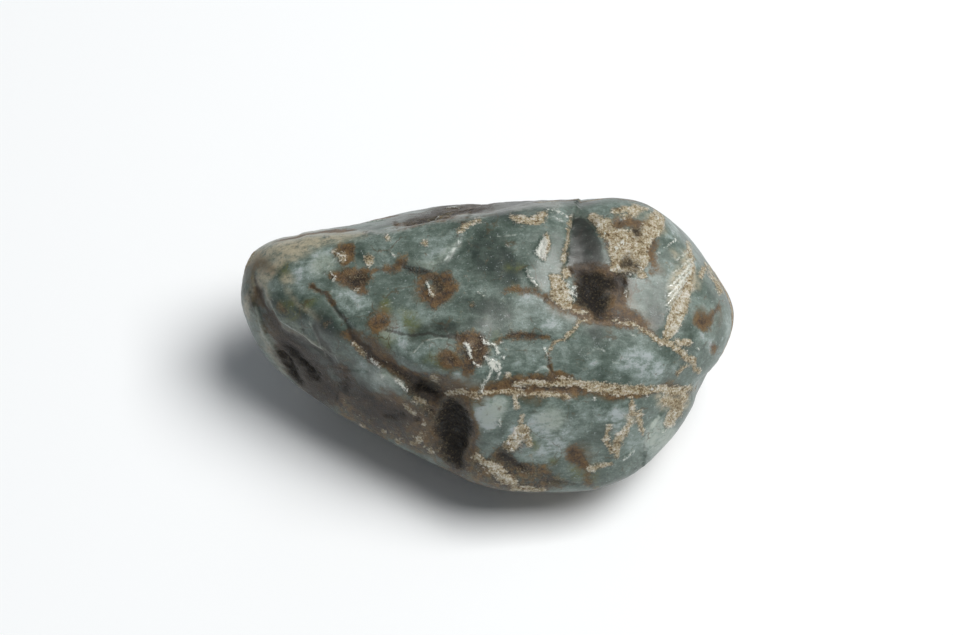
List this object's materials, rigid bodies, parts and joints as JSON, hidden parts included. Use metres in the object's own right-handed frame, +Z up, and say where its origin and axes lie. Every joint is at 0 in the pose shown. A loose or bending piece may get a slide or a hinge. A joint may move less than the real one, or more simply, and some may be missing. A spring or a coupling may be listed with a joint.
{
  "type": "jadeite stone",
  "caption": "Water-worn pebble of veined grey-green jadeite, long and faceted, with a blunt end, a narrow end and a flat to rest on.",
  "frame": {"origin": "centre of the bounding box in plan, on the plane the stone rests on", "axes": "+X along the long axis towards the blunt end, +Z up away from the flat it rests on, -Y towards the steep veined front"},
  "size_m": [0.0598, 0.0366, 0.0305],
  "materials": {
    "jadeite": "satin, water-worn grey-green jadeite with tan and rust-brown veins, granular crust and dark dirt in the pits"
  },
  "bodies": {
    "root": {"jadeite_stone": "jadeite"}
  },
  "joints": []
}
